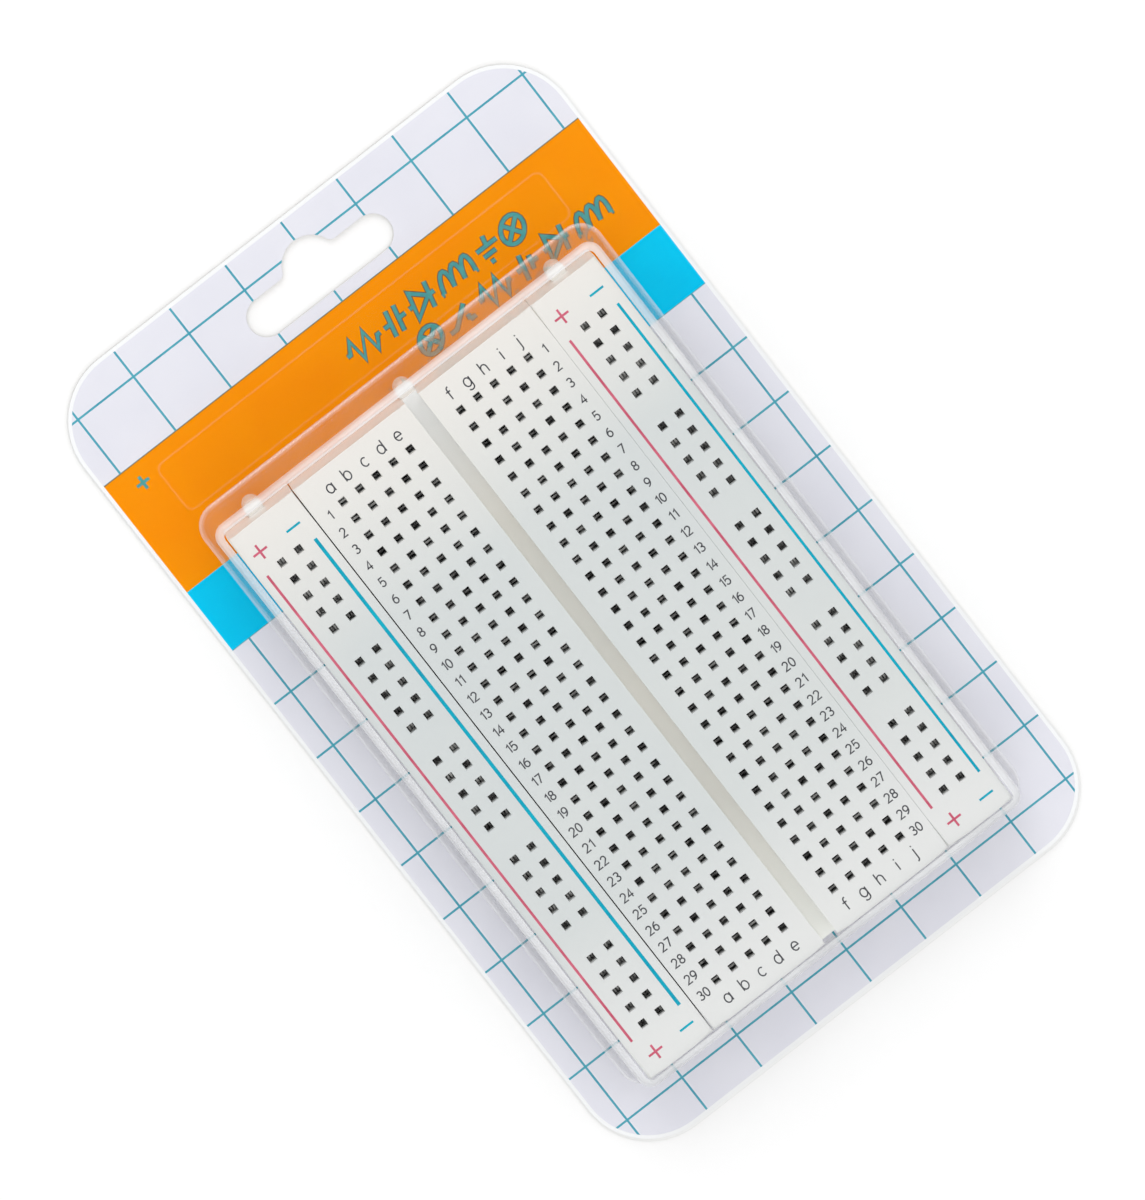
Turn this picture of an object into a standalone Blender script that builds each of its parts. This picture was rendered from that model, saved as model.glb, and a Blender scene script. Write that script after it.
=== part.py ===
"""A 400-point solderless breadboard, sealed under a clear blister on its printed hang card.

Metres. +X runs across the board from column a to column j, +Y runs towards the hang hole,
and +Z rises from the card. The origin is the middle of the card's underside.
"""
import math

import bmesh
import bpy
from mathutils import Vector

# Where things stand on the card
BOARD_CENTRE = Vector((-0.0004, -0.00785, 0.0))
TOUCH_GAP = 0.00025  # left between pieces that touch

# Tie points
PITCH = 0.00254
ROWS = 30
BANK_COLUMNS = 5
BANK_CENTRE = 3.5 * PITCH  # middle column of a half row, from the ravine
RAIL_CENTRE = 9 * PITCH
RAIL_COLUMN_OFFSET = PITCH / 2
RAIL_GROUPS = 5
RAIL_GROUP_PITCH = 6 * PITCH
GROUP_HOLES = 5
HOLE_WIDTH = 0.0010

# Mouldings
STRIP_LENGTH = 0.0832
TERMINAL_WIDTH = 0.03574
RAIL_WIDTH = 0.00948
STRIP_HEIGHT = 0.0082
ROOF_THICKNESS = 0.0016  # plastic above the clip chambers
CHAMBER_WIDTH = 0.0019
CHAMBER_END = 0.0012  # from the last tie point to the chamber's end wall
RAVINE_WIDTH = 0.0020
RAVINE_DEPTH = 0.0032
KEY_WIDTH = 0.0023
KEY_HEIGHT = 0.0042
END_KEY_LENGTH = 0.0018
SIDE_KEY_LENGTH = 0.0010
SIDE_KEY_NECK = 0.0015
SIDE_KEY_PLACES = (-0.026, 0.026)
KEY_CLEARANCE = 0.00025
KEY_ROOT = 0.0003  # how deep a key or a notch starts inside its moulding's face

# Spring clips
CLIP_METAL = 0.00025
CLIP_WIDTH = 0.00125
FINGER_LENGTH = 0.0017  # along the clip
FINGER_SLIT = 0.00016
CLIP_HEADROOM = 0.00035
MODELLED_ROWS = 22  # rows whose terminal clips are nodes here

# Foam, liners, card and blister
CARD_LENGTH = 0.1183
CARD_WIDTH = 0.0727
CARD_THICKNESS = 0.00045
CARD_CORNER = 0.0093
LINER_THICKNESS = 0.00012
PAD_THICKNESS = 0.0009
PAD_MARGIN = 0.0004
PAD_NOTCH_MARGIN = 0.0010  # on the notched side, where the next strip's keys pass
SHEET_THICKNESS = 0.0003
SHEET_OVERHANG = 0.0002
BLISTER_FOOT_HALF_WIDTH = 0.0297
BLISTER_DRAFT = 0.0009  # how far a wall leans in between its foot and its shoulder
BLISTER_LOW_END = -0.0436  # foot at the row 30 end, from the board's centre
BLISTER_HIGH_END = 0.0446  # foot at the hang hole end
BLISTER_CORNER = 0.0027
BLISTER_EDGE = 0.0005  # rounding between walls and roof
BLISTER_HEADROOM = 0.00035  # over the board

# Hang hole, from the card's centre
SLOT_CENTRE_Y = 0.05075
SLOT_RADIUS = 0.0025
SLOT_HALF_LENGTH = 0.0105
HUMP_CENTRE_Y = 0.0524
HUMP_RADIUS = 0.0036
HUMP_FILLET = 0.0010

# Heights, from the bottom up
LINER_BOTTOM = CARD_THICKNESS + TOUCH_GAP
PAD_BOTTOM = LINER_BOTTOM + LINER_THICKNESS + TOUCH_GAP
STRIP_BOTTOM = PAD_BOTTOM + PAD_THICKNESS + TOUCH_GAP
STRIP_TOP = STRIP_BOTTOM + STRIP_HEIGHT
CHAMBER_TOP = STRIP_TOP - ROOF_THICKNESS
CLIP_BOTTOM = STRIP_BOTTOM + TOUCH_GAP / 2
CLIP_TOP = CHAMBER_TOP - CLIP_HEADROOM
FLANGE_BOTTOM = CARD_THICKNESS + TOUCH_GAP
FLANGE_TOP = FLANGE_BOTTOM + SHEET_THICKNESS
ROOF_BOTTOM = STRIP_TOP + BLISTER_HEADROOM
ROOF_TOP = ROOF_BOTTOM + SHEET_THICKNESS

CUT_MARGIN = 0.001  # how far a cutter runs past the faces that it opens
CORNER_STEPS = 6
KEY_STEPS = 8


def clear_scene():
    for thing in list(bpy.data.objects):
        bpy.data.objects.remove(thing, do_unlink=True)


def make_material(name, colour, roughness, metallic=0.0, alpha=1.0):
    material = bpy.data.materials.new(name)
    material.use_nodes = True
    shader = material.node_tree.nodes["Principled BSDF"]
    shader.inputs["Base Color"].default_value = (*colour, 1.0)
    shader.inputs["Roughness"].default_value = roughness
    shader.inputs["Metallic"].default_value = metallic
    shader.inputs["Alpha"].default_value = alpha
    material.diffuse_color = (*colour, alpha)
    return material


def add_object(name, shape, material=None):
    mesh = bpy.data.meshes.new(name)
    bmesh.ops.recalc_face_normals(shape, faces=shape.faces)
    shape.to_mesh(mesh)
    shape.free()
    thing = bpy.data.objects.new(name, mesh)
    bpy.context.scene.collection.objects.link(thing)
    if material is None:
        thing.hide_render = True
        thing.display_type = "WIRE"
    else:
        mesh.materials.append(material)
    return thing


def combine(thing, tool, operation):
    step = thing.modifiers.new(f"{operation.lower()}_{tool.name}", "BOOLEAN")
    step.operation = operation
    step.solver = "EXACT"
    step.object = tool


def add_box(shape, low, high):
    corners = [
        shape.verts.new((x, y, z))
        for z in (low[2], high[2])
        for x, y in ((low[0], low[1]), (high[0], low[1]), (high[0], high[1]), (low[0], high[1]))
    ]
    for ring in ((3, 2, 1, 0), (4, 5, 6, 7), (0, 1, 5, 4), (1, 2, 6, 5), (2, 3, 7, 6), (3, 0, 4, 7)):
        shape.faces.new([corners[i] for i in ring])


def add_stack(shape, rings):
    """Closes a stack of outlines, each a list of 3-D points of the same length, into one solid."""
    loops = [[shape.verts.new(point) for point in ring] for ring in rings]
    count = len(loops[0])
    shape.faces.new(list(reversed(loops[0])))
    shape.faces.new(loops[-1])
    for lower, upper in zip(loops, loops[1:]):
        for i in range(count):
            j = (i + 1) % count
            shape.faces.new((lower[i], lower[j], upper[j], upper[i]))


def add_prism(shape, outline, bottom, top):
    add_stack(shape, [[(x, y, z) for x, y in outline] for z in (bottom, top)])


def arc(centre, radius, start, end, steps):
    """Points on an arc, with both ends, for angles in degrees."""
    return [
        (
            centre[0] + radius * math.cos(math.radians(start + (end - start) * i / steps)),
            centre[1] + radius * math.sin(math.radians(start + (end - start) * i / steps)),
        )
        for i in range(steps + 1)
    ]


def rounded_rectangle(low, high, radius, steps=CORNER_STEPS):
    corners = (
        (high[0] - radius, high[1] - radius, 0),
        (low[0] + radius, high[1] - radius, 90),
        (low[0] + radius, low[1] + radius, 180),
        (high[0] - radius, low[1] + radius, 270),
    )
    return [
        point
        for x, y, turn in corners
        for point in arc((x, y), radius, turn, turn + 90, steps)
    ]


def end_key_outline(centre, y, root, spare=0.0):
    """A round-nosed tab that points along +Y from y, starts root behind it and is grown by spare."""
    half = KEY_WIDTH / 2 + spare
    nose = y + END_KEY_LENGTH + spare - half
    foot = [(centre - half, y - root), (centre + half, y - root)]
    return foot + arc((centre, nose), half, 0, 180, KEY_STEPS)


def side_key_outline(x, centre, root, spare=0.0):
    """A dovetail tab that points along +X from x, starts root behind it and is grown by spare."""
    neck = SIDE_KEY_NECK / 2 + spare
    head = KEY_WIDTH / 2 + spare
    tip = x + SIDE_KEY_LENGTH + spare
    return [(x - root, centre - neck), (tip, centre - head), (tip, centre + head), (x - root, centre + neck)]


def moulding(name, centre_x, width, material, tie_points, chambers, ravine=False):
    """A strip with keys on its +X and +Y sides, notches on the other two and clip chambers underneath."""
    middle = BOARD_CENTRE.x + centre_x
    low_x = middle - width / 2
    high_x = middle + width / 2
    low_y = BOARD_CENTRE.y - STRIP_LENGTH / 2
    high_y = BOARD_CENTRE.y + STRIP_LENGTH / 2
    side_key_ys = [BOARD_CENTRE.y + y for y in SIDE_KEY_PLACES]

    body = bmesh.new()
    add_box(body, (low_x, low_y, STRIP_BOTTOM), (high_x, high_y, STRIP_TOP))
    strip = add_object(name, body, material)

    keys = bmesh.new()
    key_top = STRIP_BOTTOM + KEY_HEIGHT
    add_prism(keys, end_key_outline(middle, high_y, KEY_ROOT), STRIP_BOTTOM, key_top)
    for y in side_key_ys:
        add_prism(keys, side_key_outline(high_x, y, KEY_ROOT), STRIP_BOTTOM, key_top)
    combine(strip, add_object(f"{name}_keys", keys), "UNION")

    hollows = bmesh.new()
    below = STRIP_BOTTOM - CUT_MARGIN
    notch_top = key_top + KEY_CLEARANCE
    add_prism(hollows, end_key_outline(middle, low_y, KEY_ROOT, KEY_CLEARANCE), below, notch_top)
    for y in side_key_ys:
        add_prism(hollows, side_key_outline(low_x, y, KEY_ROOT, KEY_CLEARANCE), below, notch_top)
    for low, high in chambers:
        add_box(hollows, (*low, below), (*high, CHAMBER_TOP))
    combine(strip, add_object(f"{name}_hollows", hollows), "DIFFERENCE")

    openings = bmesh.new()
    half = HOLE_WIDTH / 2
    into_chamber = CHAMBER_TOP - CLIP_HEADROOM / 2
    for x, y in tie_points:
        add_box(openings, (x - half, y - half, into_chamber), (x + half, y + half, STRIP_TOP + CUT_MARGIN))
    if ravine:
        side = RAVINE_WIDTH / 2
        low = (middle - side, low_y - CUT_MARGIN, STRIP_TOP - RAVINE_DEPTH)
        high = (middle + side, high_y + CUT_MARGIN, STRIP_TOP + CUT_MARGIN)
        add_box(openings, low, high)
    combine(strip, add_object(f"{name}_openings", openings), "DIFFERENCE")


def row_y(row):
    """The Y of a row of tie points. Row 1 is nearest the hang hole."""
    return BOARD_CENTRE.y + (ROWS + 1 - 2 * row) / 2 * PITCH


def bank_x(side):
    """The middle of a half row. side is -1 for columns a to e and 1 for columns f to j."""
    return BOARD_CENTRE.x + side * BANK_CENTRE


def rail_column_xs(side):
    centre = BOARD_CENTRE.x + side * RAIL_CENTRE
    return (centre - RAIL_COLUMN_OFFSET, centre + RAIL_COLUMN_OFFSET)


def rail_ys():
    groups = [(i - (RAIL_GROUPS - 1) / 2) * RAIL_GROUP_PITCH for i in range(RAIL_GROUPS)]
    steps = [(i - (GROUP_HOLES - 1) / 2) * PITCH for i in range(GROUP_HOLES)]
    return [BOARD_CENTRE.y + group + step for group in groups for step in steps]


def add_terminal_strip(material):
    reach = (BANK_COLUMNS - 1) / 2 * PITCH + CHAMBER_END
    half = CHAMBER_WIDTH / 2
    tie_points = []
    chambers = []
    for row in range(1, ROWS + 1):
        y = row_y(row)
        for side in (-1, 1):
            x = bank_x(side)
            chambers.append(((x - reach, y - half), (x + reach, y + half)))
            for column in range(BANK_COLUMNS):
                tie_points.append((x + (column - (BANK_COLUMNS - 1) / 2) * PITCH, y))
    moulding("terminal_strip", 0.0, TERMINAL_WIDTH, material, tie_points, chambers, ravine=True)


def add_power_rail(name, side, material):
    ys = rail_ys()
    half = CHAMBER_WIDTH / 2
    columns = rail_column_xs(side)
    tie_points = [(x, y) for x in columns for y in ys]
    chambers = [((x - half, ys[0] - CHAMBER_END), (x + half, ys[-1] + CHAMBER_END)) for x in columns]
    moulding(name, side * RAIL_CENTRE, RAIL_WIDTH, material, tie_points, chambers)


def add_clip(name, centre, along, fingers, finger_length, material):
    """A spring clip: a flat base with pairs of fingers that lean together over it.

    along is the unit direction that the clip runs in, and fingers are the pairs' places along it.
    """
    across = Vector((-along.y, along.x, 0.0))
    half = CLIP_WIDTH / 2
    tip = FINGER_SLIT / 2
    floor = CLIP_BOTTOM
    deck = CLIP_BOTTOM + CLIP_METAL
    inner = half - CLIP_METAL
    base_profile = ((-half, floor), (half, floor), (half, deck), (inner, deck), (-inner, deck), (-half, deck))
    tip_profile = [(offset, CLIP_TOP) for offset in (tip + CLIP_METAL, tip, -tip, -tip - CLIP_METAL)]
    shape = bmesh.new()

    def section(place, profile):
        start = centre + along * place
        return [shape.verts.new(start + across * offset + Vector((0, 0, z))) for offset, z in profile]

    sections = []
    for place in fingers:
        for end in (place - finger_length / 2, place + finger_length / 2):
            sections.append((section(end, base_profile), section(end, tip_profile)))
    for number, ((base, tips), (next_base, next_tips)) in enumerate(zip(sections, sections[1:])):
        for i in (0, 1, 3, 5):
            j = (i + 1) % len(base)
            shape.faces.new((base[i], base[j], next_base[j], next_base[i]))
        if number % 2:
            for i in (2, 4):
                shape.faces.new((base[i], base[i + 1], next_base[i + 1], next_base[i]))
            continue
        for i, k in ((2, 0), (4, 2)):
            shape.faces.new((base[i], tips[k], next_tips[k], next_base[i]))
            shape.faces.new((tips[k], tips[k + 1], next_tips[k + 1], next_tips[k]))
            shape.faces.new((tips[k + 1], base[i + 1], next_base[i + 1], next_tips[k + 1]))
            if number:
                shape.faces.new((base[i], base[i + 1], tips[k + 1], tips[k]))
            if number < len(sections) - 2:
                shape.faces.new((next_base[i], next_tips[k], next_tips[k + 1], next_base[i + 1]))
    for base, tips in (sections[0], sections[-1]):
        shape.faces.new((*base[0:3], *tips[0:2], *base[3:5], *tips[2:4], base[5]))
    bmesh.ops.dissolve_limit(shape, angle_limit=math.radians(0.1), verts=shape.verts, edges=shape.edges)
    add_object(name, shape, material)


def add_terminal_clips(material):
    fingers = [(i - (BANK_COLUMNS - 1) / 2) * PITCH for i in range(BANK_COLUMNS)]
    for row in range(1, MODELLED_ROWS + 1):
        for side, letters in ((-1, "a_to_e"), (1, "f_to_j")):
            centre = Vector((bank_x(side), row_y(row), 0.0))
            name = f"clip_row_{row:02d}_{letters}"
            add_clip(name, centre, Vector((1, 0, 0)), fingers, FINGER_LENGTH, material)


def add_bus_clips(material):
    groups = [(i - (RAIL_GROUPS - 1) / 2) * RAIL_GROUP_PITCH for i in range(RAIL_GROUPS)]
    blade = (GROUP_HOLES - 1) * PITCH + FINGER_LENGTH
    for side, rail in ((-1, "left"), (1, "right")):
        for x, pole in zip(rail_column_xs(side), ("plus", "minus")):
            centre = Vector((x, BOARD_CENTRE.y, 0.0))
            add_clip(f"bus_clip_{rail}_{pole}", centre, Vector((0, 1, 0)), groups, blade, material)


def add_backing(paper, foam):
    """The foam pad under each strip and the release liner under each pad."""
    strips = (
        ("left_rail", -RAIL_CENTRE, RAIL_WIDTH),
        ("terminal", 0.0, TERMINAL_WIDTH),
        ("right_rail", RAIL_CENTRE, RAIL_WIDTH),
    )
    reach = STRIP_LENGTH / 2 - PAD_MARGIN
    for label, centre, width in strips:
        middle = BOARD_CENTRE.x + centre
        low = (middle - width / 2 + PAD_NOTCH_MARGIN, BOARD_CENTRE.y - reach)
        high = (middle + width / 2 - PAD_MARGIN, BOARD_CENTRE.y + reach)
        pad = bmesh.new()
        add_box(pad, (*low, PAD_BOTTOM), (*high, PAD_BOTTOM + PAD_THICKNESS))
        add_object(f"foam_pad_{label}", pad, foam)
        liner = bmesh.new()
        add_box(liner, (*low, LINER_BOTTOM), (*high, LINER_BOTTOM + LINER_THICKNESS))
        add_object(f"release_liner_{label}", liner, paper)


def hang_hole_outline():
    """A long slot with a hump over its middle, filleted where the two meet."""
    end = SLOT_HALF_LENGTH - SLOT_RADIUS
    slot_top = SLOT_CENTRE_Y + SLOT_RADIUS
    fillet_y = slot_top + HUMP_FILLET
    reach = HUMP_RADIUS + HUMP_FILLET
    fillet_x = math.sqrt(reach**2 - (fillet_y - HUMP_CENTRE_Y) ** 2)
    meet = math.degrees(math.atan2(fillet_y - HUMP_CENTRE_Y, fillet_x))
    steps = CORNER_STEPS // 2
    points = arc((end, SLOT_CENTRE_Y), SLOT_RADIUS, -90, 90, 2 * steps)
    points += arc((fillet_x, fillet_y), HUMP_FILLET, -90, meet - 180, steps)
    points += arc((0.0, HUMP_CENTRE_Y), HUMP_RADIUS, meet, 180 - meet, 2 * steps)[1:-1]
    points += arc((-fillet_x, fillet_y), HUMP_FILLET, -meet, -90, steps)
    points += arc((-end, SLOT_CENTRE_Y), SLOT_RADIUS, 90, 270, 2 * steps)
    return points


def hang_hole_cutter(name):
    shape = bmesh.new()
    add_prism(shape, hang_hole_outline(), -CUT_MARGIN, FLANGE_TOP + CUT_MARGIN)
    return add_object(name, shape)


def add_card(material):
    half_width = CARD_WIDTH / 2
    half_length = CARD_LENGTH / 2
    shape = bmesh.new()
    outline = rounded_rectangle((-half_width, -half_length), (half_width, half_length), CARD_CORNER)
    add_prism(shape, outline, 0.0, CARD_THICKNESS)
    card = add_object("backing_card", shape, material)
    combine(card, hang_hole_cutter("card_hang_hole"), "DIFFERENCE")


def blister_ring(inset, z):
    """The bubble's outline, drawn in from its foot by inset."""
    half = BLISTER_FOOT_HALF_WIDTH - inset
    low = (BOARD_CENTRE.x - half, BOARD_CENTRE.y + BLISTER_LOW_END + inset)
    high = (BOARD_CENTRE.x + half, BOARD_CENTRE.y + BLISTER_HIGH_END - inset)
    radius = BLISTER_CORNER - inset
    return [(x, y, z) for x, y in rounded_rectangle(low, high, radius, CORNER_STEPS // 2)]


def add_bubble(shape, inset, bottom, top):
    """A tapered block with a chamfered top edge, whose walls stand inset inside the bubble's."""
    shoulder = top - BLISTER_EDGE
    rings = (
        blister_ring(inset, bottom),
        blister_ring(inset + BLISTER_DRAFT, shoulder),
        blister_ring(inset + BLISTER_DRAFT + BLISTER_EDGE, top),
    )
    add_stack(shape, rings)


def add_blister(material):
    half_width = CARD_WIDTH / 2 + SHEET_OVERHANG
    half_length = CARD_LENGTH / 2 + SHEET_OVERHANG
    flange = bmesh.new()
    radius = CARD_CORNER + SHEET_OVERHANG
    outline = rounded_rectangle((-half_width, -half_length), (half_width, half_length), radius)
    add_prism(flange, outline, FLANGE_BOTTOM, FLANGE_TOP)
    blister = add_object("blister_cover", flange, material)

    outside = bmesh.new()
    add_bubble(outside, 0.0, FLANGE_BOTTOM + SHEET_THICKNESS / 2, ROOF_TOP)
    combine(blister, add_object("bubble_outside", outside), "UNION")
    inside = bmesh.new()
    add_bubble(inside, SHEET_THICKNESS, FLANGE_BOTTOM - CUT_MARGIN, ROOF_BOTTOM)
    combine(blister, add_object("bubble_inside", inside), "DIFFERENCE")
    combine(blister, hang_hole_cutter("blister_hang_hole"), "DIFFERENCE")


def main():
    clear_scene()
    plastic = make_material("white_abs", (0.86, 0.86, 0.83), 0.35)
    metal = make_material("clip_metal", (0.62, 0.60, 0.56), 0.30, metallic=1.0)
    foam = make_material("foam_pad", (0.80, 0.78, 0.70), 0.95)
    paper = make_material("liner_paper", (0.78, 0.66, 0.38), 0.70)
    card = make_material("printed_card", (0.75, 0.74, 0.85), 0.45)
    clear = make_material("clear_sheet", (0.95, 0.97, 0.98), 0.05, alpha=0.3)
    add_terminal_strip(plastic)
    add_power_rail("power_rail_left", -1, plastic)
    add_power_rail("power_rail_right", 1, plastic)
    add_terminal_clips(metal)
    add_bus_clips(metal)
    add_backing(paper, foam)
    add_card(card)
    add_blister(clear)


main()
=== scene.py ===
"""The look of a 400-point solderless breadboard, sealed under a clear blister on its hang card.

Metres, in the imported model's frame: +X runs from column a to column j, +Y towards the hang hole
and +Z up from the card.
"""
import math

import bmesh
import bpy
from mathutils import Matrix, Vector, noise


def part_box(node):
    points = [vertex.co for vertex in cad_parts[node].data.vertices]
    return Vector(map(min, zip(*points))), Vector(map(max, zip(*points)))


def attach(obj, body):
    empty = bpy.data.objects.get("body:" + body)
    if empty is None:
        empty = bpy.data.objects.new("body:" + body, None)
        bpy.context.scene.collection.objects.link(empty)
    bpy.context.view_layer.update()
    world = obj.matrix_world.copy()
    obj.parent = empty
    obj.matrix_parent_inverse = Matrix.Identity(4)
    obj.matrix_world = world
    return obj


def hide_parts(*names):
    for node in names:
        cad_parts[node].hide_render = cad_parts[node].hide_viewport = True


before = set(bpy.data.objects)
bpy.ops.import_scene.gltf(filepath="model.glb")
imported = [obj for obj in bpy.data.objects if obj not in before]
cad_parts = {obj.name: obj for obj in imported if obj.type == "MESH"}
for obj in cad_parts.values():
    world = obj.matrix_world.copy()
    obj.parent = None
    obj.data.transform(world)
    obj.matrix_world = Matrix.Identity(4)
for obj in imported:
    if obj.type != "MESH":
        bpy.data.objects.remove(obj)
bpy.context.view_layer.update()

MM = 0.001
MICRON = 0.000001

# Tie points
PITCH = 2.54 * MM
ROWS = 30
BANK_COLUMNS = 5
BANK_CENTRE = 3.5 * PITCH
RAIL_CENTRE = 9 * PITCH
RAIL_COLUMN_OFFSET = PITCH / 2
RAIL_GROUPS = 5
RAIL_GROUP_PITCH = 6 * PITCH
GROUP_HOLES = 5
HOLE_WIDTH = 0.88 * MM
LEAD_IN = 0.06 * MM  # how far a tie point's mouth widens on each side
LEAD_IN_DEPTH = 0.36 * MM

# Mouldings
STRIP_LENGTH = 83.2 * MM
TERMINAL_WIDTH = 35.74 * MM
RAIL_WIDTH = 9.48 * MM
ROOF_THICKNESS = 1.6 * MM
CHAMBER_WIDTH = 1.9 * MM
CHAMBER_END = 1.2 * MM
RAVINE_WIDTH = 2.0 * MM
RAVINE_DEPTH = 3.2 * MM
STRIP_EDGE = 0.30 * MM  # rounding
SEAM_CLOSING = (0.10 * MM, 0.225 * MM)  # how much the left rail's seam and the right rail's narrow
KEY_WIDTH = 2.3 * MM
KEY_HEIGHT = 4.2 * MM
KEY_EDGE = 0.25 * MM
END_KEY_LENGTH = 1.8 * MM
SIDE_KEY_LENGTH = 1.0 * MM
SIDE_KEY_NECK = 1.5 * MM
SIDE_KEY_PLACES = (-26 * MM, 26 * MM)
KEY_CLEARANCE = 0.25 * MM
KEY_ROOT = 0.3 * MM

# Spring clips
CLIP_METAL = 0.25 * MM
CLIP_WIDTH = 1.25 * MM
FINGER_LENGTH = 1.7 * MM
FINGER_SLIT = 0.16 * MM
FIRST_ADDED_ROW = 23  # rows 1 to 22 have their clips in the CAD model

# Card
CARD_CORNER = 9.3 * MM
BAND_TOP = 46.63 * MM  # orange
BAND_LINE = 0.12 * MM  # a fine dark line along its upper edge
BAND_MIDDLE = 30.35 * MM
BAND_BOTTOM = 21.45 * MM  # cyan
GRID_PITCH = Vector((8.4 * MM, 8.353 * MM))
GRID_ORIGIN = Vector((0.2 * MM, -53.7 * MM))
GRID_LINE = 0.27 * MM
GRID_COLUMNS = range(-4, 5)
GRID_ROWS = range(14)
PRINT_MARGIN = 0.45 * MM  # unprinted, round the edge
MARK_CENTRE = Vector((-31.9 * MM, 44.1 * MM))  # the plain plus near the card's corner
MARK_ARM = 0.9 * MM
MARK_STROKE = 0.4 * MM

# Hang hole
SLOT_CENTRE_Y = 50.75 * MM
SLOT_RADIUS = 2.5 * MM
SLOT_HALF_LENGTH = 10.5 * MM
HUMP_CENTRE_Y = 52.4 * MM
HUMP_RADIUS = 3.6 * MM
HUMP_FILLET = 1.0 * MM

# Blister
SHEET_THICKNESS = 0.3 * MM
SHEET_OVERHANG = 0.2 * MM
FOOT_HALF_WIDTH = 29.7 * MM
FOOT_FILLET = 0.35 * MM
DRAFT = 0.9 * MM
LOW_END = -43.6 * MM
HIGH_END = 44.6 * MM
BUBBLE_CORNER = 2.7 * MM
SHOULDER = 1.0 * MM
STEP_LOW = Vector((-29.8 * MM, 37.7 * MM))  # the shallow step pressed into the flange
STEP_HIGH = Vector((28.5 * MM, 44.85 * MM))
STEP_HEIGHT = 0.12 * MM
STEP_RAMP = 0.25 * MM
STEP_CORNER = 1.2 * MM

# Foam
FOAM_CELL = 1.6 * MM
FOAM_WAVER = 0.12 * MM  # how far its cut sides draw in
WAVES_PER_METRE = 450

CUT_MARGIN = 1.0 * MM
CORNER_STEPS = 14
STEP_CORNER_STEPS = 6
BUBBLE_CORNER_STEPS = 10
HANG_HOLE_STEPS = 10
KEY_STEPS = 16
BEND_STEPS = 5

# Printing
INK = 12 * MICRON
INK_OVERLAP = 4 * MICRON  # how far ink starts below the face it lies on
INK_STAGGER = 0.7 * MICRON  # between strokes that cross
LETTER_HEIGHT = 1.12 * MM
DIGIT_HEIGHT = 1.12 * MM
TYPE_STROKE = 0.165 * MM
SIGN_ARM = 1.0 * MM
SIGN_STROKE = 0.28 * MM
RED_LINE = 0.32 * MM

# Camera and light
AIM = Vector((0.0, 2.6 * MM, 10.4 * MM))
VIEW_TILT = 10.0  # degrees from straight above, towards the hang hole
VIEW_ROLL = 38.3  # degrees
VIEW_DISTANCE = 1.432
LENS = 360.0
SENSOR = 36.0
WORLD_STRENGTH = 0.90
FLOOR_REACH = 3.0
FLOOR_DROP = 0.1 * MM  # below the card

low_corner, high_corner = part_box("terminal_strip")
STRIP_BOTTOM, STRIP_TOP = low_corner.z, high_corner.z
CENTRE = Vector((low_corner.x + TERMINAL_WIDTH / 2, low_corner.y + STRIP_LENGTH / 2))
CHAMBER_TOP = STRIP_TOP - ROOF_THICKNESS
RAVINE_FLOOR = STRIP_TOP - RAVINE_DEPTH
CLIP_BOTTOM, CLIP_TOP = [corner.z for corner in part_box("clip_row_01_a_to_e")]
CARD_LOW, CARD_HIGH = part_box("backing_card")
SHEET_LOW, SHEET_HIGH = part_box("blister_cover")


# ------------ materials


def start_material(name):
    """A material with one Principled shader, and its object coordinates."""
    material = bpy.data.materials.new(name)
    material.use_nodes = True
    tree = material.node_tree
    shader = tree.nodes["Principled BSDF"]
    place = tree.nodes.new("ShaderNodeTexCoord").outputs["Object"]
    return material, tree, shader, place


def noise_of(tree, place, size, detail=3.0, stretch=None):
    """A noise whose features are about size across, or size times stretch."""
    if stretch is not None:
        mapping = tree.nodes.new("ShaderNodeMapping")
        mapping.inputs["Scale"].default_value = [1 / s for s in stretch]
        tree.links.new(place, mapping.inputs["Vector"])
        place = mapping.outputs["Vector"]
    texture = tree.nodes.new("ShaderNodeTexNoise")
    texture.inputs["Scale"].default_value = 1 / size
    texture.inputs["Detail"].default_value = detail
    tree.links.new(place, texture.inputs["Vector"])
    return texture.outputs["Fac"]


def spread(tree, value, low=0.0, high=1.0, from_low=0.3, from_high=0.7):
    """Maps a value from one range to another."""
    node = tree.nodes.new("ShaderNodeMapRange")
    tree.links.new(value, node.inputs["Value"])
    for socket, number in zip(("From Min", "From Max", "To Min", "To Max"), (from_low, from_high, low, high)):
        node.inputs[socket].default_value = number
    return node.outputs["Result"]


def mix_colours(tree, factor, first, second):
    """Colours are RGB triples or colour outputs."""
    node = tree.nodes.new("ShaderNodeMix")
    node.data_type = "RGBA"
    tree.links.new(factor, node.inputs["Factor"])
    colour_inputs = [s for s in node.inputs if s.type == "RGBA"]
    for socket, colour in zip(colour_inputs, (first, second)):
        if isinstance(colour, tuple):
            socket.default_value = (*colour, 1.0)
        else:
            tree.links.new(colour, socket)
    return [s for s in node.outputs if s.type == "RGBA"][0]


def relief(tree, height, distance, strength=1.0, normal=None):
    node = tree.nodes.new("ShaderNodeBump")
    node.inputs["Distance"].default_value = distance
    node.inputs["Strength"].default_value = strength
    tree.links.new(height, node.inputs["Height"])
    if normal is not None:
        tree.links.new(normal, node.inputs["Normal"])
    return node.outputs["Normal"]


def wire(tree, shader, colour, roughness, normal):
    for socket, output in (("Base Color", colour), ("Roughness", roughness), ("Normal", normal)):
        tree.links.new(output, shader.inputs[socket])


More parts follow.
